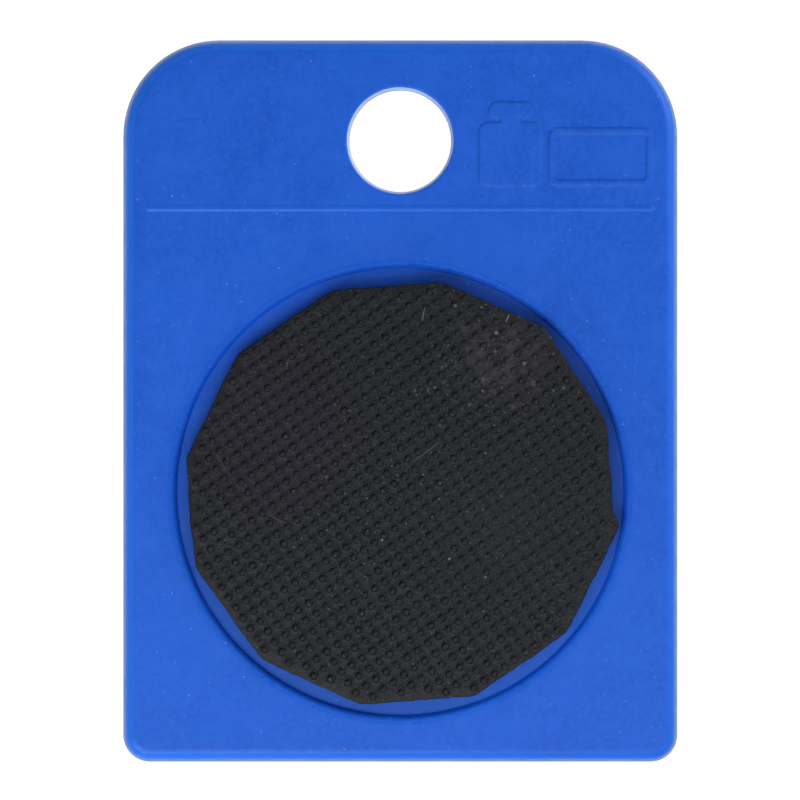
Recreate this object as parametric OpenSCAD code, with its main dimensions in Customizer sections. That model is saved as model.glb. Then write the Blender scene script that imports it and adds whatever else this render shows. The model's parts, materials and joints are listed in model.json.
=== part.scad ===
// Furniture moving roller: a square plastic box on ten small wheels, with a lifting tab and a grip pad.
// The origin is on the floor below the middle of the deck. +Y points to the tab end and +Z up.

/* [Deck] */
// Length of the deck from heel to tab end
deck_l = 100; // [90:0.5:130]
// Width of the deck
deck_w = 76.8; // [74:0.1:100]
// Thickness of the deck plate
deck_t = 3; // [2.4:0.1:5]
// Corner radius at the tab end
tab_corner_r = 13.3; // [5:0.1:20]
// Corner radius at the heel end
heel_corner_r = 3.7; // [3.3:0.1:8]
// Rounding of the upper outer edge
edge_r = 1.6; // [0.3:0.1:2]
// How much wider the deck is on each side at its lower edge
edge_draft = 0.3; // [0.1:0.05:0.4]
// Rounding of the lower outer edge
under_r = 0.3; // [0.1:0.05:0.4]

/* [Box under the deck] */
// Wall thickness of the skirt
skirt_t = 2.2; // [1.5:0.1:2.6]
// Overhang of the deck over the skirt
skirt_inset = 0.4; // [0.2:0.1:0.6]
// Height of the skirt above the floor
skirt_lift = 4; // [2:0.1:6]
// Rounding of both lower edges of the skirt
foot_r = 0.6; // [0.2:0.1:0.7]
// Thickness of the ribs that carry the pins
rib_t = 2.4; // [2:0.1:3]
// Height of the ribs above the floor
rib_lift = 5; // [3:0.1:6]
// Thickness of the cross ties between the ribs
tie_t = 1.6; // [1:0.1:2.4]
// Depth of the cross ties below the deck
tie_h = 6; // [3:0.5:12]

/* [Tab] */
// Length of the bare tab in front of the box
tab_l = 23.4; // [23:0.1:32]
// Diameter of the hanging hole at its narrowest
hole_d = 14.1; // [6:0.1:17.5]
// Distance of the hole centre from the tab end
hole_inset = 14; // [10.5:0.1:14.2]
// Rounding of both rims of the hanging hole
hole_rim_r = 0.3; // [0.1:0.05:0.5]
// Height of the straight part of the hole above the tab's underside
hole_land = 0.9; // [0.7:0.05:1.6]
// How much wider the hole is all round at its upper rim
hole_draft = 0.3; // [0.1:0.05:0.6]
// Thickness of the webs under the tab
web_t = 2; // [1.2:0.1:3]
// Reach of the webs along the tab
web_l = 12; // [6:0.5:16]
// Height of the webs at the box
web_h = 9; // [5:0.5:13]
// Distance of each web from the middle
web_x = 24; // [16:0.5:30]

/* [Raised line] */
// Distance of the raised line's ends from the sides of the deck
line_inset = 2.8; // [2:0.05:15]
// Width of the line where it leaves the deck
line_w = 0.9; // [0.6:0.1:1.6]
// Height of the line above the deck
line_h = 0.2; // [0.1:0.05:0.4]
// Length of each tapered end of the line
line_taper = 0.8; // [0.5:0.1:5]

/* [Marking: a plain weight symbol and an empty field] */
// Gap from the marking to the hanging hole and to the side of the deck
mark_gap = 3.55; // [3:0.05:6]
// Distance of the marking's lower edge from the hole centre
mark_drop = 6.3; // [3:0.1:7]
// Height of the marking above the deck
mark_h = 0.15; // [0.1:0.05:0.5]
// Width of the weight symbol
weight_w = 8.7; // [6:0.1:10]
// Height of the weight symbol without its knob
weight_h = 8.8; // [6:0.1:9]
// Corner radius of the weight symbol
weight_r = 1.3; // [0.3:0.1:2]
// Width of the neck below the knob
neck_w = 2.7; // [1:0.1:4]
// Height of the neck
neck_h = 0.6; // [0.3:0.1:1]
// Width of the knob
knob_w = 5.9; // [4.5:0.1:6]
// Height of the knob
knob_h = 2.2; // [2.1:0.1:3]
// Corner radius of the knob
knob_r = 1; // [0.3:0.05:1]
// Gap between the weight symbol and the field
field_gap = 0.9; // [0.4:0.1:2]
// Height of the field
field_h = 8; // [4:0.1:9]
// Width of the field's border
field_border = 0.8; // [0.4:0.1:1]
// Outer corner radius of the field
field_r = 1.3; // [1.1:0.1:2]

/* [Recess and pad] */
// Diameter of the round recess
recess_d = 61.9; // [50:0.1:70]
// Depth of the recess
recess_depth = 1; // [1:0.1:1.8]
// Shift of the recess from the middle of the box towards the heel
recess_shift = 1.05; // [0:0.05:2]
// Rounding of the lip of the recess
recess_lip_r = 0.8; // [0.1:0.05:0.8]
// Rounding between the floor and the wall of the recess
recess_fillet_r = 0.15; // [0.1:0.05:0.2]
// Gap between the wall of the recess and the pad's corners
pad_gap = 0.9; // [0.8:0.05:6]
// Thickness of the pad with its dots
pad_t = 2.8; // [1:0.1:4]
// Number of sides of the pad
pad_sides = 12; // [6:1:12]
// Turn of the pad in degrees
pad_turn = 20.5; // [0:0.5:60]
// Thickness of the adhesive film
adhesive_t = 0.2; // [0.1:0.05:0.5]
// Distance of the film's corners from the pad's corners
adhesive_inset = 1; // [0.5:0.1:3]

/* [Wheels] */
// Wheel diameter
wheel_d = 19; // [15.5:0.1:23]
// Width of the tread
wheel_w = 9; // [6:0.1:9.5]
// Rounding of the tread shoulders
shoulder_r = 0.8; // [0.2:0.1:1.2]
// Thickness of the rim
rim_t = 2.4; // [1.5:0.1:3]
// Diameter of the hub
hub_d = 8; // [6.5:0.1:9]
// How far the hub stands out of the tread on each side
hub_proud = 0.2; // [0.1:0.05:0.25]
// Depth of the dish in each side
dish_depth = 1.2; // [0.4:0.1:2.5]
// Gap between the tread and the rib beside it
wheel_play = 0.4; // [0.35:0.05:0.8]
// Gap between a wheel and the deck above it
head_gap = 1; // [0.6:0.1:2]
// Gap between the outer wheels and the end walls of the box
end_gap = 1; // [0.5:0.1:4]

/* [Axle pins] */
// Diameter of a pin
pin_d = 4; // [3:0.1:5]
// Radial running clearance of a wheel on its pin
pin_play = 0.08; // [0.03:0.01:0.1]
// Chamfer on the pin ends
pin_chamfer = 0.4; // [0.1:0.1:0.6]
// Depth of the pin slots in the ribs
slot_depth = 1.7; // [1:0.1:1.8]
// Radial clearance of a pin in its seat
seat_play = 0.05; // [0.02:0.01:0.1]
// End clearance of a pin in its slot
end_play = 0.05; // [0.02:0.01:0.2]
// How much narrower than the pin the snap neck is
snap = 0.4; // [0.1:0.1:0.8]
// Height of the flared mouth of a slot
mouth_h = 0.8; // [0.3:0.1:1.2]

/* [Hidden] */
$fn = 64;
// Sink of joined shapes into each other, and overshoot of cutting shapes
sink = 0.2;
over = 1;

// Heights above the floor
axle_z = wheel_d / 2;
under_z = wheel_d + head_gap;
deck_z = under_z + deck_t;
recess_z = deck_z - recess_depth;

// Sizes that follow from their neighbours
pad_d = recess_d - 2 * pad_gap;
line_l = deck_w - 2 * line_inset;
hole_mouth_r = hole_d / 2 + hole_draft;
mark_x = hole_mouth_r + mark_gap;
mark_l = deck_w / 2 - mark_x - mark_gap;
field_l = mark_l - weight_w - field_gap;

// Outer radii of the disc and the ring that are let into the plate
recess_ring_r = recess_d / 2 + recess_lip_r + over;
hole_ring_r = hole_mouth_r + hole_rim_r + over;

// Places along the deck
heel_y = -deck_l / 2;
tab_y = deck_l / 2;
box_y = tab_y - tab_l;
hole_y = tab_y - hole_inset;

// The box and the well inside it
box_half_w = deck_w / 2 - skirt_inset;
box_half_l = (box_y - heel_y - skirt_inset) / 2;
box_mid_y = box_y - box_half_l;
box_corner_r = heel_corner_r - skirt_inset;
pad_y = box_mid_y - recess_shift;
well_half_w = box_half_w - skirt_t;
well_half_l = box_half_l - skirt_t;

// The grid under the box: its last row, counted from 0, and its columns on each side of the middle
last_row = 3;
side_columns = 2;
outer_rib = side_columns + 0.5;

// Wheels, pins and the ribs between them
wheel_r = wheel_d / 2;
hub_r = hub_d / 2;
pin_r = pin_d / 2;
pocket_w = wheel_w + 2 * wheel_play;
column_pitch = pocket_w + rib_t;
row_pitch = 2 * (well_half_l - end_gap - wheel_r) / last_row;
slot_reach = pocket_w / 2 + slot_depth;
pin_l = 2 * (slot_reach - end_play);

function row_y(row) = box_mid_y + (row - last_row / 2) * row_pitch;
function column_x(column) = column * column_pitch;
function side_name(column) = column < 0 ? "left" : column > 0 ? "right" : "centre";
function has_wheel(column, row) = (column + row) % 2 == 0;

// Wheels stand on every other place of the grid: name, column and row
places = [
    for (row = [0:last_row])
        for (column = [-side_columns:side_columns])
            if (has_wheel(column, row))
                [str("row", row + 1, "_", side_name(column)), column, row]
];

// A straight run of a section, along +Y, with the section's first axis to +X and its second up
module run(length) {
    translate([0, length, 0])
        rotate([90, 0, 0])
            linear_extrude(length)
                children();
}

// A slice of the given thickness across X, drawn in Y and Z
module slice(thickness) {
    translate([-thickness / 2, 0, 0])
        rotate([90, 0, 90])
            linear_extrude(thickness)
                children();
}

// What a rounding of radius r takes off a corner that points to +X and +Y
module corner_waste(r) {
    translate([-r, -r])
        difference() {
            square(r + over);
            circle(r);
        }
}

// Section of the deck's rim: a slightly slanted side with both edges rounded
module rim_section(reach) {
    upper = reach - edge_draft;
    difference() {
        square([reach, deck_t]);
        polygon([
            [reach, under_r],
            [upper, deck_t - edge_r],
            [upper, deck_t + over],
            [reach + over, deck_t + over],
            [reach + over, under_r]
        ]);
        translate([upper, deck_t])
            corner_waste(edge_r);
        translate([reach, 0])
            mirror([0, 1])
                corner_waste(under_r);
    }
}

// Section of the skirt, with both lower edges rounded
module skirt_section() {
    inner = box_corner_r - skirt_t;
    difference() {
        translate([inner, 0])
            square([skirt_t, under_z - skirt_lift + sink]);
        translate([box_corner_r, 0])
            mirror([0, 1])
                corner_waste(foot_r);
        translate([inner, 0])
            rotate(180)
                corner_waste(foot_r);
    }
}

// Section of the recessed disc: thin inside the recess, with a rounded wall up to the deck
module disc_section() {
    wall_r = recess_d / 2;
    floor_t = deck_t - recess_depth;
    difference() {
        square([recess_ring_r, deck_t]);
        translate([-over, floor_t])
            square([wall_r + over, recess_depth + over]);
        translate([wall_r, deck_t])
            mirror([1, 0])
                corner_waste(recess_lip_r);
    }
    translate([wall_r, floor_t])
        mirror([0, 1])
            corner_waste(recess_fillet_r);
}

// Section of the ring round the hanging hole: straight below, wider above, with both rims rounded
module hole_section() {
    hole_r = hole_d / 2;
    difference() {
        translate([hole_r, 0])
            square([hole_ring_r - hole_r, deck_t]);
        polygon([
            [hole_r - over, hole_land],
            [hole_r, hole_land],
            [hole_mouth_r, deck_t - hole_rim_r],
            [hole_mouth_r, deck_t + over],
            [hole_r - over, deck_t + over]
        ]);
        translate([hole_mouth_r, deck_t])
            mirror([1, 0])
                corner_waste(hole_rim_r);
        translate([hole_r, 0])
            rotate(180)
                corner_waste(hole_rim_r);
    }
}

// The whole plate: a core, four strips and four round corners that meet face to face
module full_plate() {
    heel_half = deck_w / 2 - heel_corner_r;
    tab_half = deck_w / 2 - tab_corner_r;
    heel_turn_y = heel_y + heel_corner_r;
    tab_turn_y = tab_y - tab_corner_r;
    side_l = tab_turn_y - heel_turn_y;
    translate([0, 0, under_z]) {
        translate([-heel_half, heel_turn_y, 0])
            cube([2 * heel_half, side_l, deck_t]);
        translate([-heel_half, heel_turn_y, 0])
            rotate(-90)
                run(2 * heel_half)
                    rim_section(heel_corner_r);
        translate([tab_half, tab_turn_y, 0])
            rotate(90)
                run(2 * tab_half)
                    rim_section(tab_corner_r);
        for (flip = [0, 1])
            mirror([flip, 0, 0]) {
                translate([heel_half, heel_turn_y, 0])
                    run(side_l)
                        rim_section(heel_corner_r);
                translate([heel_half, heel_turn_y, 0])
                    rotate(-90)
                        rotate_extrude(angle = 90)
                            rim_section(heel_corner_r);
                translate([tab_half, tab_turn_y, 0])
                    rotate_extrude(angle = 90)
                        rim_section(tab_corner_r);
            }
    }
}

// The deck plate, with the recessed disc and the rim of the hanging hole let into it
module plate() {
    difference() {
        full_plate();
        translate([0, pad_y, under_z - over])
            cylinder(h = deck_t + 2 * over, r = recess_ring_r);
        translate([0, hole_y, under_z - over])
            cylinder(h = deck_t + 2 * over, r = hole_ring_r);
    }
    translate([0, pad_y, under_z])
        rotate_extrude()
            disc_section();
    translate([0, hole_y, under_z])
        rotate_extrude()
            hole_section();
}

// The wall round the box: four runs and four round corners that meet face to face
module skirt() {
    turn_x = box_half_w - box_corner_r;
    turn_y = box_half_l - box_corner_r;
    translate([0, box_mid_y, skirt_lift])
        for (side = [0, 1])
            rotate(180 * side) {
                translate([turn_x, -turn_y, 0])
                    run(2 * turn_y)
                        skirt_section();
                translate([turn_x, turn_y, 0])
                    rotate(90)
                        run(2 * turn_x)
                            skirt_section();
                translate([turn_x, turn_y, 0])
                    rotate_extrude(angle = 90)
                        skirt_section();
                translate([-turn_x, turn_y, 0])
                    rotate(90)
                        rotate_extrude(angle = 90)
                            skirt_section();
            }
}

// Outline of a pin slot: a round seat over a snap neck with a flared mouth
module slot_outline() {
    drop = axle_z - rib_lift;
    neck = (pin_d - snap) / 2;
    mouth = (pin_d + snap) / 2;
    circle(pin_r + seat_play);
    polygon([
        [-neck, 0],
        [-neck, mouth_h - drop],
        [-mouth, -drop],
        [-mouth, -drop - over],
        [mouth, -drop - over],
        [mouth, -drop],
        [neck, mouth_h - drop],
        [neck, 0]
    ]);
}

// One long rib between two wheel columns, with the blind slots that its pins snap into
module rib(x) {
    difference() {
        translate([x - rib_t / 2, box_mid_y - well_half_l - sink, rib_lift])
            cube([rib_t, 2 * (well_half_l + sink), under_z - rib_lift + sink]);
        for (place = places)
            if (abs(column_x(place[1]) - x) < column_pitch)
                translate([column_x(place[1]), row_y(place[2]), axle_z])
                    slice(2 * slot_reach)
                        slot_outline();
    }
}

// A cross tie from one height below the deck up into it
module tie(x0, x1, row) {
    translate([x0, row_y(row) - tie_t / 2, under_z - tie_h])
        cube([x1 - x0, tie_t, tie_h + sink]);
}

// Ties in the grid places without a wheel, and beside the outer ribs
module ties() {
    outer_x = column_x(outer_rib) + slot_depth / 2;
    skirt_mid_x = well_half_w + skirt_t / 2;
    reach = pocket_w / 2 + sink;
    for (row = [0:last_row]) {
        for (column = [-side_columns:side_columns])
            if (!has_wheel(column, row))
                tie(column_x(column) - reach, column_x(column) + reach, row);
        tie(outer_x, skirt_mid_x, row);
        tie(-skirt_mid_x, -outer_x, row);
    }
}

// Webs that brace the tab against the front of the box
module webs() {
    for (side = [-1, 1])
        translate([side * web_x, box_y, under_z])
            slice(web_t)
                polygon([
                    [-sink, sink],
                    [web_l, sink],
                    [web_l, 0],
                    [0, -web_h],
                    [-sink, -web_h]
                ]);
}

// The raised line: the top of a lying rod with tapered ends
module raised_line() {
    rod_r = (line_w * line_w / 4 + line_h * line_h) / (2 * line_h);
    tip_r = (rod_r - line_h) / 2;
    straight = line_l - 2 * line_taper;
    translate([0, box_y, deck_z + line_h - rod_r])
        for (side = [0, 1])
            rotate([0, 90, 180 * side]) {
                cylinder(h = straight / 2, r = rod_r);
                translate([0, 0, straight / 2])
                    cylinder(h = line_taper, r1 = rod_r, r2 = tip_r);
            }
}

// Outline of a block with four round corners
module round_block(length, height, r) {
    difference() {
        square([length, height]);
        for (right = [0, 1])
            for (upper = [0, 1])
                translate([right * length, upper * height])
                    mirror([1 - right, 0])
                        mirror([0, 1 - upper])
                            corner_waste(r);
    }
}

// Outline of the weight symbol: a block with a neck and a knob
module weight_outline() {
    round_block(weight_w, weight_h, weight_r);
    translate([(weight_w - neck_w) / 2, weight_h - sink])
        square([neck_w, neck_h + 2 * sink]);
    translate([(weight_w - knob_w) / 2, weight_h + neck_h])
        round_block(knob_w, knob_h, knob_r);
}

// Outline of the empty field's border
module field_outline() {
    difference() {
        round_block(field_l, field_h, field_r);
        translate([field_border, field_border])
            round_block(field_l - 2 * field_border, field_h - 2 * field_border, field_r - field_border);
    }
}

// The raised marking beside the hanging hole
module marking() {
    translate([mark_x, hole_y - mark_drop, deck_z - sink])
        linear_extrude(mark_h + sink) {
            weight_outline();
            translate([weight_w + field_gap, 0])
                field_outline();
        }
}

// The one moulded body
module deck() {
    color("royalblue")
        union() {
            plate();
            skirt();
            for (edge = [-outer_rib:outer_rib])
                rib(column_x(edge));
            ties();
            webs();
            raised_line();
            marking();
        }
}

// A flat sheet with the pad's outline, in the recess
module pad_sheet(diameter, thickness) {
    rotate(pad_turn)
        cylinder(h = thickness, d = diameter, $fn = pad_sides);
}

module pad_adhesive() {
    color("gainsboro")
        translate([0, pad_y, recess_z])
            pad_sheet(pad_d - 2 * adhesive_inset, adhesive_t);
}

module grip_pad() {
    color("dimgray")
        translate([0, pad_y, recess_z + adhesive_t])
            pad_sheet(pad_d, pad_t);
}

// A steel pin with chamfered ends
module axle(place) {
    half = pin_l / 2;
    color("silver")
        translate([column_x(place[1]), row_y(place[2]), axle_z])
            rotate([0, 90, 0])
                rotate_extrude()
                    polygon([
                        [0, -half],
                        [pin_r - pin_chamfer, -half],
                        [pin_r, pin_chamfer - half],
                        [pin_r, half - pin_chamfer],
                        [pin_r - pin_chamfer, half],
                        [0, half]
                    ]);
}

// Upper half of a wheel's section, from its middle plane to its face
module half_wheel_section() {
    bore_r = pin_r + pin_play;
    half = wheel_w / 2;
    difference() {
        union() {
            translate([bore_r, 0])
                square([wheel_r - bore_r, half]);
            translate([bore_r, 0])
                square([hub_r - bore_r, half + hub_proud]);
        }
        translate([hub_r, half - dish_depth])
            square([wheel_r - rim_t - hub_r, dish_depth + over]);
        translate([wheel_r, half])
            corner_waste(shoulder_r);
    }
}

// A solid wheel with dished sides and a hub
module wheel(place) {
    color("whitesmoke")
        translate([column_x(place[1]), row_y(place[2]), axle_z])
            rotate([0, 90, 0])
                rotate_extrude() {
                    half_wheel_section();
                    mirror([0, 1])
                        half_wheel_section();
                }
}

deck();
grip_pad();
pad_adhesive();
for (place = places) {
    axle(place);
    wheel(place);
}
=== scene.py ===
"""Furniture moving roller: a blue plastic box on ten small wheels, with a dotted rubber grip pad.

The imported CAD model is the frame. The deck, wheels, pins and film are its own nodes, with new materials.
The pad is rebuilt here as one closed sheet with raised dots. Lengths are in metres.
"""

import json
import math
import random

import bmesh
import bpy
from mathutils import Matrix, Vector, geometry, noise


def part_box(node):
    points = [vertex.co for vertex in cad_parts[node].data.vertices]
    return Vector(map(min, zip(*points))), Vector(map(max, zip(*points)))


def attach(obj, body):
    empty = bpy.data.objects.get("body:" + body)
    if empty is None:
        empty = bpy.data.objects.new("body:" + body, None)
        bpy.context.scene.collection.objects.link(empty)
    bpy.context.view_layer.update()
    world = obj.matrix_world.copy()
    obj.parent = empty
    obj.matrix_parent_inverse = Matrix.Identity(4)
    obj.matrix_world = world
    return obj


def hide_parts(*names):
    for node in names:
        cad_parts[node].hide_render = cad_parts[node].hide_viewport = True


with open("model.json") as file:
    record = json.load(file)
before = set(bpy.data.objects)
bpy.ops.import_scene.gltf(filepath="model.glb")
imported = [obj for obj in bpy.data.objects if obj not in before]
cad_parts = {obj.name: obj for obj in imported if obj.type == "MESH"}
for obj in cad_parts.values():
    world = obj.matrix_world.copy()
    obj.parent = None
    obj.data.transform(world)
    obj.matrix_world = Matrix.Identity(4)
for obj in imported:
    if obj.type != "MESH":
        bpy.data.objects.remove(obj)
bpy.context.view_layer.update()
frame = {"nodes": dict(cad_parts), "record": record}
nodes = frame["nodes"]
MM = 0.001

# Places that the materials and the pad need, read from the frame
deck_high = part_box("deck")[1]
pad_low, pad_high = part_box("grip_pad")
pad_x = (pad_low.x + pad_high.x) / 2
pad_y = (pad_low.y + pad_high.y) / 2

# Middle of the hanging hole, and how far its wall and rim reach from there
HOLE_Y = deck_high.y - 14 * MM
HOLE_REACH = 7.9 * MM

# The recess: radius of its wall, and of the outer end of its rounded lip
RECESS_WALL = 30.95 * MM
RECESS_LIP = 31.75 * MM

# The marking beside the hole: its area across and along the deck
MARKING_X = (10.0 * MM, 35.8 * MM)
MARKING_Y = (28.7 * MM, 42.5 * MM)

# Rounding of the CAD nodes' sharp edges
EDGE_BEVEL = 0.12 * MM


# Materials

# Numbers of a Mix node's sockets: first and second input, and result
MIX_SOCKETS = {"VECTOR": (4, 5, 1), "RGBA": (6, 7, 2)}


class Shader:
    """A material with one Principled shader, and short ways to add nodes to it."""

    def __init__(self, name, **constants):
        self.material = bpy.data.materials.new(name)
        self.material.use_nodes = True
        self.tree = self.material.node_tree
        self.surface = self.tree.nodes["Principled BSDF"]
        for socket, value in constants.items():
            self.surface.inputs[socket.replace("_", " ")].default_value = value
        self.position = self.add("ShaderNodeTexCoord").outputs["Object"]

    def add(self, kind, inputs=None, **settings):
        node = self.tree.nodes.new(kind)
        for name, value in settings.items():
            setattr(node, name, value)
        for socket, value in (inputs or {}).items():
            self.put(value, node.inputs[socket])
        return node

    def put(self, value, socket):
        if isinstance(value, bpy.types.NodeSocket):
            self.tree.links.new(value, socket)
        else:
            socket.default_value = value

    def link(self, value, socket):
        self.tree.links.new(value, self.surface.inputs[socket])

    def math(self, operation, *values, clamp=False):
        inputs = dict(enumerate(values))
        return self.add("ShaderNodeMath", inputs, operation=operation, use_clamp=clamp).outputs[0]

    def vector_math(self, operation, first, second):
        return self.add("ShaderNodeVectorMath", {0: first, 1: second}, operation=operation).outputs

    def product(self, *values):
        result = values[0]
        for value in values[1:]:
            result = self.math("MULTIPLY", result, value)
        return result

    def spread(self, value, low, high, to_low=0.0, to_high=1.0):
        """The value's range from low to high, laid smoothly over another range."""
        inputs = {"Value": value, "From Min": low, "From Max": high, "To Min": to_low, "To Max": to_high}
        return self.add("ShaderNodeMapRange", inputs, interpolation_type="SMOOTHSTEP").outputs[0]

    def band(self, value, low, full, full_end, high):
        """1 between the two inner limits, and smoothly 0 outside the outer ones."""
        return self.product(self.spread(value, low, full), self.spread(value, high, full_end))

    def mix(self, kind, factor, first, second):
        node = self.add("ShaderNodeMix", data_type=kind)
        first_socket, second_socket, result = MIX_SOCKETS[kind]
        self.put(factor, node.inputs[0])
        self.put(first, node.inputs[first_socket])
        self.put(second, node.inputs[second_socket])
        return node.outputs[result]

    def blend(self, factor, first, second):
        return self.mix("RGBA", factor, first, second)

    def tint(self, colour, other, *masks):
        """A colour, changed to another one as far as the masks' product says."""
        return self.blend(self.product(*masks), colour, other)

    def axes(self, vector):
        return self.add("ShaderNodeSeparateXYZ", {0: vector}).outputs

    def normal(self):
        return self.add("ShaderNodeNewGeometry").outputs["Normal"]

    def upward(self):
        """How far the surface faces up: 1 for a level top, 0 for a wall."""
        return self.axes(self.normal())[2]

    def away(self, x, y, z):
        """Distance from a point."""
        return self.vector_math("DISTANCE", self.position, (x, y, z))["Value"]

    def stretched(self, *scale):
        inputs = {"Vector": self.position, "Scale": scale}
        return self.add("ShaderNodeMapping", inputs).outputs[0]

    def turned(self, vector, angle):
        """The vector's parts along and across a direction, after a turn about Z."""
        inputs = {"Vector": vector, "Angle": angle}
        node = self.add("ShaderNodeVectorRotate", inputs, rotation_type="Z_AXIS")
        along, across, _ = self.axes(node.outputs[0])
        return along, across

    def noise(self, per_metre, detail=3.0, roughness=0.6, vector=None):
        inputs = {"Vector": vector or self.position, "Scale": per_metre,
                  "Detail": detail, "Roughness": roughness}
        return self.add("ShaderNodeTexNoise", inputs).outputs["Fac"]

    def cells(self, per_metre, share, dimensions):
        """Random points: distance and offset from the nearest, its random numbers, and if it is chosen."""
        grid = self.stretched(per_metre, per_metre, per_metre)
        inputs = {"Vector": grid, "Scale": 1.0}
        node = self.add("ShaderNodeTexVoronoi", inputs, voronoi_dimensions=dimensions)
        drawn = self.axes(node.outputs["Color"])
        offset = self.vector_math("SUBTRACT", grid, node.outputs["Position"])["Vector"]
        return node.outputs["Distance"], offset, drawn, self.math("GREATER_THAN", drawn[0], 1 - share)

    def specks(self, per_metre, size, share, dimensions="2D"):
        """Small ragged spots of mixed sizes round some of the random points."""
        distance, _, drawn, chosen = self.cells(per_metre, share, dimensions)
        reach = size * per_metre
        ragged = self.noise(7000, detail=1.0, roughness=0.5)
        uneven = self.math("MULTIPLY", self.math("SUBTRACT", ragged, 0.5), 1.2 * reach)
        limit = self.math("MULTIPLY", self.math("ADD", drawn[2], 0.3), reach)
        core = self.math("MULTIPLY", limit, 0.4)
        spot = self.spread(self.math("ADD", distance, uneven), limit, core)
        return self.product(spot, chosen, drawn[1])

    def strokes(self, per_metre, width, length, share, curl):
        """Short fine lines through some of the random points, each at its own angle."""
        _, offset, drawn, chosen = self.cells(per_metre, share, "2D")
        along, across = self.turned(offset, self.math("MULTIPLY", drawn[2], math.tau))
        bend = self.product(along, along, self.math("MULTIPLY", drawn[1], curl))
        beside = self.math("ABSOLUTE", self.math("SUBTRACT", across, bend))
        line = self.spread(beside, width * per_metre, 0.2 * width * per_metre)
        ends = self.spread(self.math("ABSOLUTE", along), length * per_metre, 0.5 * length * per_metre)
        return self.product(line, ends, chosen, drawn[1])

    def hair(self, x, y, degrees, length, width):
        """One fine straight mark, by its middle and its angle."""
        offset = self.vector_math("SUBTRACT", self.position, (x, y, 0))["Vector"]
        along, across = self.turned(offset, -math.radians(degrees))
        line = self.spread(self.math("ABSOLUTE", across), width, 0.3 * width)
        ends = self.spread(self.math("ABSOLUTE", along), length / 2, length / 5)
        return self.product(line, ends)

    def softened(self, radius, mask):
        """The surface's normal, smoothed across edges where the mask is 1."""
        smooth = self.add("ShaderNodeBevel", {"Radius": radius}, samples=8).outputs[0]
        return self.mix("VECTOR", mask, self.normal(), smooth)

    def bump(self, *layers, normal=None):
        """Height layers, each with its depth in metres, over a normal."""
        for height, depth in layers:
            node = self.add("ShaderNodeBump", {"Height": height, "Distance": depth, "Strength": 1.0})
            if normal:
                self.tree.links.new(normal, node.inputs["Normal"])
            normal = node.outputs["Normal"]
        self.link(normal, "Normal")


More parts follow.
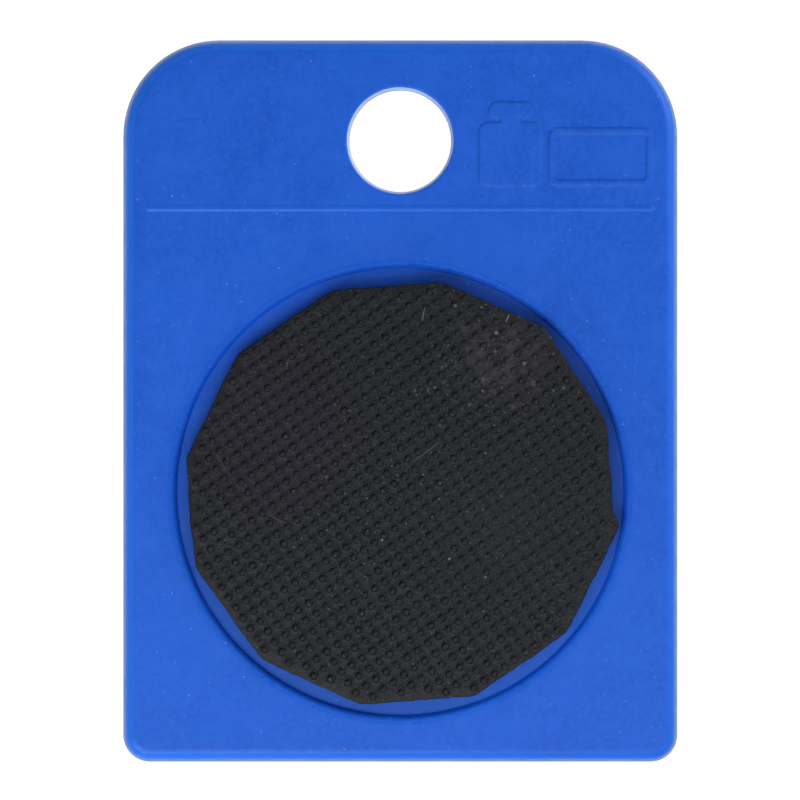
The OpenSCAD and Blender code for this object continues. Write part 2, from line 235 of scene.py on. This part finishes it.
def blue_plastic():
    s = Shader("deck_plastic", IOR=1.46, Subsurface_Weight=0.35,
               Subsurface_Scale=0.8 * MM, Subsurface_Radius=(0.08, 0.25, 1.0))
    up = s.upward()
    east, north, _ = s.axes(s.position)
    top = s.spread(up, 0.6, 0.9)
    cloud = s.noise(60)
    blotch = s.noise(330)
    mottle = s.noise(1500, detail=2.0)
    grain = s.noise(5200, detail=2.0, roughness=0.5)
    colour = s.blend(s.spread(cloud, 0.25, 0.75), (0.0092, 0.096, 0.565, 1), (0.0125, 0.118, 0.652, 1))
    colour = s.tint(colour, (0.0172, 0.136, 0.69, 1), s.spread(blotch, 0.4, 0.8, 0, 0.45))
    colour = s.tint(colour, (0.0155, 0.136, 0.715, 1), s.spread(mottle, 0.3, 0.7, 0, 0.55))

    # The recess: painted shade round it, a floor darkened by painted shade, a wall painted brighter blue
    # towards the heel and darker away from it, and a deep blue lip of painted shade
    reach = s.away(pad_x, pad_y, deck_high.z)
    heelward = s.spread(north, pad_y + 12 * MM, pad_y - 12 * MM)
    shade = s.spread(s.away(pad_x + 3 * MM, pad_y + 3 * MM, deck_high.z), 38 * MM, 29 * MM)
    # Painted shade: the deck round the recess is darkened, most of all to the upper right
    colour = s.tint(colour, (0.0075, 0.082, 0.47, 1), shade, top, 0.2)
    floor = s.spread(reach, RECESS_WALL + 0.25 * MM, RECESS_WALL - 0.05 * MM)
    # Painted shade: the recess floor is darkened, its tint changing from the top towards the heel
    floor_painted_shade = s.blend(heelward, (0.006, 0.074, 0.5, 1), (0.012, 0.072, 0.32, 1))
    colour = s.tint(colour, floor_painted_shade, floor, top, 0.32)
    wall = s.band(reach, RECESS_WALL - 0.25 * MM, RECESS_WALL - 0.05 * MM,
                  RECESS_WALL + 0.07 * MM, RECESS_WALL + 0.2 * MM)
    # Painted light and shade: the recess wall is painted brighter blue towards the heel and darker away
    # from it
    wall_painted_light_and_shade = s.blend(heelward, (0.003, 0.09, 0.58, 1), (0.006, 0.15, 1.0, 1))
    colour = s.tint(colour, wall_painted_light_and_shade, wall, 0.7)
    lip = s.band(reach, RECESS_WALL + 0.07 * MM, RECESS_WALL + 0.2 * MM, RECESS_WALL + 0.3 * MM, RECESS_LIP)
    # Painted shade: the lip is painted deep blue, darkest away from the heel
    lip_painted_shade = s.spread(heelward, 0.0, 1.0, 0.45, 0.22)
    colour = s.tint(colour, (0.003, 0.045, 0.5, 1), lip, lip_painted_shade)

    # Painted light: the outer edges are painted paler, more so at the left, the steep outer sides get a
    # pale painted reflection, and the hole's wall a brighter painted reflection, most of all at its upper
    # left
    outer = s.spread(reach, RECESS_LIP + 1.25 * MM, RECESS_LIP + 2.25 * MM)
    edge = s.product(s.band(up, 0.25, 0.7, 0.93, 0.998), outer)
    # Painted light: the outer fillets are painted paler, more so at the left
    painted_edge_light = s.spread(east, -36 * MM, 36 * MM, 0.85, 0.35)
    colour = s.tint(colour, (0.018, 0.172, 0.8, 1), edge, painted_edge_light)
    # Painted reflection: the steep outer sides are painted a pale grey blue
    slant = s.product(s.band(up, 0.08, 0.13, 0.3, 0.5), outer)
    colour = s.tint(colour, (0.03, 0.17, 0.42, 1), slant, 0.6)
    # Painted reflection: the hole's wall is painted pale, most of all at its upper left
    bore = s.spread(s.away(0, HOLE_Y, deck_high.z - 1.2 * MM), HOLE_REACH + 0.3 * MM, HOLE_REACH)
    painted_bore_light = s.spread(s.math("SUBTRACT", north, east), HOLE_Y - 8 * MM, HOLE_Y + 8 * MM, 0.3, 0.9)
    colour = s.tint(colour, (0.5, 0.66, 0.82, 1), slant, bore, painted_bore_light)

    # Dust and fine scratches on what faces up
    coarse = s.specks(per_metre=420, size=0.15 * MM, share=0.26)
    fine = s.specks(per_metre=800, size=0.1 * MM, share=0.2)
    dust = s.product(s.math("ADD", coarse, fine, clamp=True), top)
    marks = s.strokes(per_metre=110, width=0.05 * MM, length=2.6 * MM, share=0.3, curl=0.5)
    colour = s.tint(colour, (0.25, 0.42, 0.9, 1), dust, 0.5)
    colour = s.tint(colour, (0.1, 0.26, 0.85, 1), marks, top, 0.3)
    s.link(colour, "Base Color")

    # A duller ring at the lip, and softly moulded edges on the marking
    s.link(s.spread(blotch, 0.3, 0.7, 0.34, 0.44), "Roughness")
    dull = s.band(reach, RECESS_WALL - 0.05 * MM, RECESS_WALL + 0.1 * MM,
                  RECESS_LIP + 0.25 * MM, RECESS_LIP + 0.65 * MM)
    s.link(s.spread(dull, 0.0, 1.0, 0.25, 0.1), "Specular IOR Level")
    across = s.band(east, MARKING_X[0] - 0.6 * MM, *MARKING_X, MARKING_X[1] + 0.4 * MM)
    along = s.band(north, MARKING_Y[0] - 0.5 * MM, *MARKING_Y, MARKING_Y[1] + 0.5 * MM)
    soft = s.softened(0.45 * MM, s.product(across, along))
    s.bump((cloud, 0.05 * MM), (mottle, 0.004 * MM), (grain, 0.003 * MM), (dust, 0.02 * MM), normal=soft)
    return s.material


# Single scratches and hairs on the pad: place in millimetres, angle in degrees, length and strength
PAD_HAIRS = [(3.6, -7.0, 37, 6.0, 0.11), (3.2, 12.0, 79, 2.6, 0.28), (14.8, 11.4, 70, 1.4, 0.5)]
HAIR_WIDTH = 0.09 * MM


def black_rubber():
    s = Shader("pad_rubber", IOR=1.5, Specular_IOR_Level=0.15)
    up = s.upward()
    top = s.spread(up, 0.4, 0.8)
    cloud = s.noise(140, detail=4.0)
    grain = s.noise(2600, roughness=0.65)
    powder = s.noise(6500, detail=2.0)
    colour = s.blend(s.spread(cloud, 0.3, 0.7), (0.0044, 0.0052, 0.0066, 1), (0.0059, 0.0060, 0.0098, 1))
    colour = s.tint(colour, (0.029, 0.032, 0.040, 1), s.spread(grain, 0.4, 0.8, 0, 0.7))
    colour = s.tint(colour, (0.030, 0.033, 0.040, 1), s.spread(powder, 0.44, 0.7))
    # Painted shade: the dots' steep flanks are darkened
    painted_flank_shade = s.spread(up, 0.98, 0.8, 0, 0.45)
    colour = s.tint(colour, (0.003, 0.0034, 0.0046, 1), painted_flank_shade)

    # A cool patch at the left and a dusty one with lint at the upper right
    cool = s.spread(s.away(pad_x - 18 * MM, pad_y + 9 * MM, pad_high.z), 17 * MM, 3 * MM)
    colour = s.tint(colour, (0.017, 0.013, 0.027, 1), cool, 0.25)
    from_patch = s.away(pad_x + 14 * MM, pad_y + 19 * MM, pad_high.z)
    uneven = s.spread(s.noise(420, detail=4.0, roughness=0.65), 0.35, 0.75)
    haze = s.product(s.spread(from_patch, 10 * MM, 2 * MM), uneven)
    colour = s.tint(colour, (0.062, 0.059, 0.072, 1), haze, 0.5)
    smudges = s.product(s.specks(per_metre=320, size=0.5 * MM, share=0.35), 0.35)
    lint = s.math("ADD", s.specks(per_metre=520, size=0.26 * MM, share=0.3), smudges)
    lint = s.product(lint, s.spread(from_patch, 16 * MM, 5 * MM), 0.75)

    # Specks and scratches all over, most of them in the middle, and a few single ones
    coarse = s.specks(per_metre=420, size=0.17 * MM, share=0.3)
    fine = s.specks(per_metre=900, size=0.11 * MM, share=0.4)
    settled = s.spread(s.away(pad_x, pad_y, pad_high.z), 24 * MM, 8 * MM, 0.45, 0.95)
    specks = s.product(s.math("ADD", coarse, fine), settled)
    dust = s.product(s.math("ADD", specks, lint, clamp=True), top)
    short = s.strokes(per_metre=130, width=0.06 * MM, length=2.0 * MM, share=0.3, curl=0.3)
    curled = s.strokes(per_metre=75, width=0.05 * MM, length=3.2 * MM, share=0.2, curl=1.2)
    colour = s.tint(colour, (0.3, 0.3, 0.29, 1), dust, 0.6)
    colour = s.tint(colour, (0.3, 0.3, 0.3, 1), s.math("ADD", short, curled), top, 0.25)
    for x, y, degrees, length, strength in PAD_HAIRS:
        hair = s.hair(x * MM, y * MM, degrees, length * MM, HAIR_WIDTH)
        colour = s.tint(colour, (0.4, 0.4, 0.4, 1), hair, top, strength)
    s.link(colour, "Base Color")
    s.link(s.spread(cloud, 0.3, 0.7, 0.42, 0.52), "Roughness")
    s.bump((grain, 0.016 * MM), (powder, 0.008 * MM), (dust, 0.03 * MM))
    return s.material


def milky_film():
    s = Shader("adhesive_film", IOR=1.45, Transmission_Weight=0.15)
    cloud = s.noise(900)
    s.link(s.blend(cloud, (0.78, 0.77, 0.72, 1), (0.86, 0.85, 0.8, 1)), "Base Color")
    s.link(s.spread(cloud, 0.3, 0.7, 0.35, 0.55), "Roughness")
    s.bump((cloud, 0.02 * MM))
    return s.material


def drawn_steel():
    s = Shader("pin_steel", Metallic=1.0)
    lines = s.noise(5200, vector=s.stretched(0.02, 1, 1))
    stain = s.noise(500)
    colour = s.blend(s.spread(lines, 0.3, 0.7), (0.5, 0.5, 0.52, 1), (0.66, 0.66, 0.67, 1))
    colour = s.tint(colour, (0.3, 0.28, 0.26, 1), s.spread(stain, 0.55, 0.8, 0, 0.35))
    s.link(colour, "Base Color")
    s.link(s.spread(lines, 0.3, 0.7, 0.22, 0.36), "Roughness")
    s.bump((lines, 0.004 * MM))
    return s.material


def natural_nylon():
    s = Shader("wheel_nylon", IOR=1.53, Subsurface_Weight=0.08, Subsurface_Scale=1 * MM)
    cloud = s.noise(260)
    scuffs = s.noise(3000, roughness=0.65, vector=s.stretched(1, 0.25, 0.25))
    colour = s.blend(s.spread(cloud, 0.3, 0.7), (0.7, 0.69, 0.63, 1), (0.78, 0.77, 0.72, 1))
    colour = s.tint(colour, (0.42, 0.4, 0.36, 1), s.spread(scuffs, 0.55, 0.75, 0, 0.3))
    dirt = s.specks(per_metre=700, size=0.15 * MM, share=0.2, dimensions="3D")
    colour = s.tint(colour, (0.12, 0.11, 0.1, 1), dirt, 0.7)
    s.link(colour, "Base Color")
    s.link(s.spread(scuffs, 0.3, 0.7, 0.38, 0.55), "Roughness")
    s.bump((scuffs, 0.01 * MM), (cloud, 0.03 * MM))
    return s.material


def dress(obj, material):
    obj.data.materials.clear()
    obj.data.materials.append(material)


def soften(obj, width):
    """Small round edges and even shading for a CAD node, without touching its mesh."""
    join = obj.modifiers.new("join", "WELD")
    join.merge_threshold = 1e-6
    flat = obj.modifiers.new("flat", "DECIMATE")
    flat.decimate_type = "DISSOLVE"
    flat.angle_limit = math.radians(0.5)
    bevel = obj.modifiers.new("bevel", "BEVEL")
    bevel.width = width
    bevel.segments = 2
    bevel.limit_method = "ANGLE"
    bevel.angle_limit = math.radians(35)
    shade = obj.modifiers.new("shade", "WEIGHTED_NORMAL")
    shade.keep_sharp = True


looks = {
    "deck_plastic": blue_plastic(),
    "pad_rubber": black_rubber(),
    "adhesive_film": milky_film(),
    "pin_steel": drawn_steel(),
    "wheel_nylon": natural_nylon(),
}
for part in frame["record"]["subparts"]:
    dress(nodes[part["node"]], looks[part["material_slot"]])
for name, node in nodes.items():
    if name not in ("grip_pad", "pad_adhesive"):
        soften(node, EDGE_BEVEL)


# The pad: a cut sheet with rows of raised dots

# Corners of the pad, given one by one: angle in degrees and distance from the middle in millimetres
PAD_CORNERS = [
    (19.2, 30.15), (48.8, 30.2), (78.5, 29.6), (108.7, 29.4), (139.9, 29.4), (170.5, 29.85), (186.0, 29.25),
    (200.8, 30.05), (230.5, 29.97), (259.3, 29.9), (290.0, 29.97), (319.6, 30.05), (350.9, 30.6),
    (355.0, 29.5),
]
OUTLINE_STEP = 0.25 * MM
EDGE_ROUND = 0.15 * MM

# How much the corners lose, and how soon that ends along the sides
CORNER_LOSS = 0.12 * MM
CORNER_SHARPNESS = 6

# The cut's waver, with its waves: number per metre, share, and the slice of the noise that they come from
CUT_WAVER = 0.12 * MM
CUT_WAVES = ((350, 1.0, 4.2), (1300, 0.7, 9.1))

# The sheet's slow waves: height, number per metre, and slice of the noise
SWELL = 0.04 * MM
SWELL_WAVES = 90
SWELL_SLICE = 1.3

# The grid of dots: its spacing, its turn, its first dot, and the rows on each side of that one
DOT_PITCH = 1.73 * MM
DOT_TURN = math.radians(34.5)
DOT_FIRST = Vector((-0.82, -11.41)) * MM
DOT_ROWS = 22
DOT_LIMIT = 31 * MM

# One dot, how much its size, height and place vary, and its profile as shares of its radius and height
DOT_RADIUS = 0.55 * MM
DOT_HEIGHT = 0.31 * MM
DOT_SIDES = 14
DOT_SIZES = (0.9, 1.08)
DOT_HEIGHTS = (0.7, 1.08)
DOT_SHIFT = 0.03 * MM
DOT_FOOT = 1.06
DOT_PROFILE = ((1.0, 0.05), (0.9, 0.3), (0.8, 0.6), (0.69, 0.84), (0.56, 0.96), (0.3, 0.99))
FOOT_MARGIN = 0.04 * MM

# The sheet lies this many dot heights below the pad's top
SHEET_DROP = 1.1

# Where the dots are worn lower, seen from the pad's middle, how far that reaches and how much is lost there
WORN_SPOT = Vector((16.5, -5.5)) * MM
WORN_REACH = 16 * MM
WORN_LOSS = 0.6


def pad_outline(step):
    """Points round the pad, a step apart, with slightly soft corners and uneven cuts."""
    corners = []
    for angle, reach in PAD_CORNERS:
        turn = math.radians(angle)
        corners.append(Vector((math.cos(turn), math.sin(turn))) * reach * MM)
    points = []
    for i, corner in enumerate(corners):
        after = corners[(i + 1) % len(corners)]
        side = after - corner
        count = round(side.length / step)
        out = Vector((side.y, -side.x)).normalized()
        for k in range(count):
            t = k / count
            point = corner + side * t
            ease = min(1.0, 4 * t * (1 - t))
            waver = 0
            for waves, share, z in CUT_WAVES:
                waver += share * noise.noise(Vector((point.x * waves, point.y * waves, z)))
            points.append(point + out * (waver * CUT_WAVER - CORNER_LOSS * (1 - ease) ** CORNER_SHARPNESS))
    return [Vector((p.x + pad_x, p.y + pad_y)) for p in points]


def inward(loop, distance):
    """The closed loop, moved inwards by a distance."""
    moved = []
    for i, point in enumerate(loop):
        along = (loop[(i + 1) % len(loop)] - loop[i - 1]).normalized()
        moved.append(point + Vector((-along.y, along.x)) * distance)
    return moved


def inside_by(point, loop, margin):
    """Whether a point is inside the loop and at least a margin away from it."""
    crossings = 0
    for a, b in zip(loop, loop[1:] + loop[:1]):
        along = b - a
        t = max(0.0, min(1.0, (point - a).dot(along) / along.length_squared))
        if (a + along * t - point).length < margin:
            return False
        if (a.y > point.y) != (b.y > point.y):
            if point.x < a.x + along.x * (point.y - a.y) / along.y:
                crossings += 1
    return crossings % 2 == 1


def swell(x, y):
    """Height of the sheet's waves at a place."""
    return SWELL * noise.noise(Vector((x * SWELL_WAVES, y * SWELL_WAVES, SWELL_SLICE)))


def dot_places(rim):
    """The dots whose foot lies inside the rim: middle, radius, height and the directions of their sides."""
    random.seed(7)
    pad_middle = Vector((pad_x, pad_y))
    worn_spot = pad_middle + WORN_SPOT
    u = Vector((math.cos(DOT_TURN), math.sin(DOT_TURN))) * DOT_PITCH
    v = Vector((-u.y, u.x))
    places = []
    for i in range(-DOT_ROWS, DOT_ROWS + 1):
        for j in range(-DOT_ROWS, DOT_ROWS + 1):
            centre = DOT_FIRST + u * i + v * j
            size = DOT_RADIUS * random.uniform(*DOT_SIZES)
            height = DOT_HEIGHT * random.uniform(*DOT_HEIGHTS)
            height *= 1 - WORN_LOSS * max(0.0, 1 - (centre - worn_spot).length / WORN_REACH)
            centre += Vector((random.uniform(-1, 1), random.uniform(-1, 1))) * DOT_SHIFT
            if (centre - pad_middle).length > DOT_LIMIT:
                continue
            if not inside_by(centre, rim, size * DOT_FOOT + FOOT_MARGIN):
                continue
            first = random.uniform(0, math.tau)
            turns = [first + math.tau * k / DOT_SIDES for k in range(DOT_SIDES)]
            spokes = [Vector((math.cos(turn), math.sin(turn))) for turn in turns]
            places.append((centre, size, height, spokes))
    return places


def join_loops(bm, first, second):
    """A closed strip of faces between two loops with as many points."""
    for k in range(len(first)):
        n = (k + 1) % len(first)
        bm.faces.new((first[k], first[n], second[n], second[k]))


def build_pad():
    outline = pad_outline(OUTLINE_STEP)
    rim_points = inward(outline, EDGE_ROUND)
    sheet_z = pad_high.z - DOT_HEIGHT * SHEET_DROP
    bm = bmesh.new()
    flat_points = []
    flat_verts = []
    edges = []

    def add_loop(points):
        start = len(flat_points)
        for p in points:
            flat_points.append(p)
            flat_verts.append(bm.verts.new((p.x, p.y, sheet_z + swell(p.x, p.y))))
        count = len(points)
        edges.extend((start + k, start + (k + 1) % count) for k in range(count))
        return flat_verts[start:]

    # The dots, each with the number of the loop that its foot makes in the sheet
    rim = add_loop(rim_points)
    owner = [-1] * len(rim)
    for number, (centre, size, height, spokes) in enumerate(dot_places(rim_points)):
        before = add_loop([centre + d * size * DOT_FOOT for d in spokes])
        owner.extend([number] * DOT_SIDES)
        base = sheet_z + swell(centre.x, centre.y)
        for scale, rise in DOT_PROFILE:
            z = base + height * rise
            ring = [bm.verts.new((centre.x + d.x * size * scale, centre.y + d.y * size * scale, z))
                    for d in spokes]
            join_loops(bm, before, ring)
            before = ring
        peak = bm.verts.new((centre.x, centre.y, base + height))
        for k in range(DOT_SIDES):
            bm.faces.new((before[k], before[(k + 1) % DOT_SIDES], peak))

    # The flat sheet between the dots
    result = geometry.delaunay_2d_cdt(flat_points, edges, [], 1, 1e-9)
    sources = result[3]
    for face in result[2]:
        picked = [sources[k][0] for k in face]
        holders = {owner[k] for k in picked}
        if len(holders) == 1 and -1 not in holders:
            continue
        bm.faces.new([flat_verts[k] for k in picked])

    # The rounded edge, the cut side and the underside
    middle_z = (sheet_z + pad_low.z) / 2
    shoulder = 0.3 * EDGE_ROUND
    before = rim
    for inset, z in ((shoulder, sheet_z - shoulder), (0.0, sheet_z - EDGE_ROUND),
                     (-0.03 * MM, middle_z), (0.02 * MM, pad_low.z)):
        ring = [bm.verts.new((p.x, p.y, z)) for p in inward(outline, inset)]
        join_loops(bm, ring, before)
        before = ring
    bm.faces.new(before[::-1])
    bmesh.ops.recalc_face_normals(bm, faces=bm.faces)
    mesh = bpy.data.meshes.new("dotted_pad")
    bm.to_mesh(mesh)
    bm.free()
    mesh.polygons.foreach_set("use_smooth", [True] * len(mesh.polygons))
    pad = bpy.data.objects.new("dotted_pad", mesh)
    bpy.context.scene.collection.objects.link(pad)
    return pad


pad = build_pad()
dress(pad, looks["pad_rubber"])
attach(pad, "base")
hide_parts("grip_pad")


# Floor, light and camera

FLOOR_REACH = 20
FLOOR_GLOW = 0.98
CAMERA_HEIGHT = 0.8
SENSOR_WIDTH = 36

# The tent of light: how it falls off across, its lean, the least share left, and its strength
TENT_FALL = 1.1
TENT_LEAN = 0.35
TENT_LEAST = 0.06
TENT_HORIZON = 0.72
TENT_OVERHEAD_LOSS = 0.5

# What the photograph shows: its width at the deck's top face, and the point in its middle
SEEN_WIDTH = 110.53 * MM
SEEN_MIDDLE = Vector((-0.035, 0.14)) * MM


def make_floor():
    far = FLOOR_REACH
    mesh = bpy.data.meshes.new("floor")
    mesh.from_pydata([(-far, -far, 0), (far, -far, 0), (far, far, 0), (-far, far, 0)], [], [(0, 1, 2, 3)])
    floor = bpy.data.objects.new("floor", mesh)
    bpy.context.scene.collection.objects.link(floor)
    s = Shader("floor_white", Roughness=0.9, Specular_IOR_Level=0.1,
               Emission_Color=(1, 1, 1, 1), Emission_Strength=FLOOR_GLOW)
    tone = s.noise(6, detail=2.0, roughness=0.5)
    s.link(s.blend(tone, (0.13, 0.13, 0.13, 1), (0.15, 0.15, 0.15, 1)), "Base Color")
    dress(floor, s.material)


def softbox(name, azimuth, zenith, distance, size, power):
    """A square light aimed at the deck, placed by its direction from there."""
    light = bpy.data.lights.new(name, "AREA")
    light.size = size
    light.energy = power
    lamp = bpy.data.objects.new(name, light)
    a, z = math.radians(azimuth), math.radians(zenith)
    way = Vector((math.sin(z) * math.cos(a), math.sin(z) * math.sin(a), math.cos(z)))
    lamp.location = Vector((0, 0, deck_high.z)) + way * distance
    lamp.rotation_euler = way.to_track_quat("Z", "Y").to_euler()
    lamp.visible_camera = False
    bpy.context.scene.collection.objects.link(lamp)


def make_world():
    """A tent of light that runs from the lower left over the deck to the upper right, and is dim across."""
    world = bpy.data.worlds.new("studio")
    world.use_nodes = True
    tree = world.node_tree
    axes = tree.nodes.new("ShaderNodeSeparateXYZ")
    tree.links.new(tree.nodes.new("ShaderNodeTexCoord").outputs["Generated"], axes.inputs[0])
    east, north, up = axes.outputs

    def combine(operation, first, second):
        node = tree.nodes.new("ShaderNodeMath")
        node.operation = operation
        for socket, value in zip(node.inputs, (first, second)):
            if isinstance(value, bpy.types.NodeSocket):
                tree.links.new(value, socket)
            else:
                socket.default_value = value
        return node.outputs[0]

    # The light falls off across the tent, more so to the upper left, and is brighter low down
    across = combine("MULTIPLY", combine("SUBTRACT", north, east), math.sqrt(0.5))
    fall = combine("ADD", combine("MULTIPLY", across, TENT_FALL), TENT_LEAN)
    loss = combine("MULTIPLY", across, fall)
    share = combine("MAXIMUM", combine("SUBTRACT", 1.0, loss), TENT_LEAST)
    height = combine("SUBTRACT", TENT_HORIZON, combine("MULTIPLY", up, TENT_OVERHEAD_LOSS))
    back = tree.nodes["Background"]
    back.inputs["Color"].default_value = (1, 1, 1, 1)
    tree.links.new(combine("MULTIPLY", height, share), back.inputs["Strength"])
    bpy.context.scene.world = world


def make_camera():
    """A camera straight above the deck."""
    camera = bpy.data.cameras.new("camera")
    camera.sensor_width = SENSOR_WIDTH
    camera.lens = SENSOR_WIDTH * CAMERA_HEIGHT / SEEN_WIDTH
    camera.clip_start = 0.01
    holder = bpy.data.objects.new("camera", camera)
    holder.location = (SEEN_MIDDLE.x, SEEN_MIDDLE.y, deck_high.z + CAMERA_HEIGHT)
    bpy.context.scene.collection.objects.link(holder)
    bpy.context.scene.camera = holder


make_floor()
make_world()
softbox("key", azimuth=238, zenith=40, distance=0.4, size=0.25, power=0.95)
softbox("side", azimuth=32, zenith=70, distance=0.45, size=0.28, power=0.95)
softbox("fill", azimuth=305, zenith=28, distance=0.4, size=0.25, power=0.34)
bpy.context.scene.view_settings.view_transform = "Standard"
make_camera()
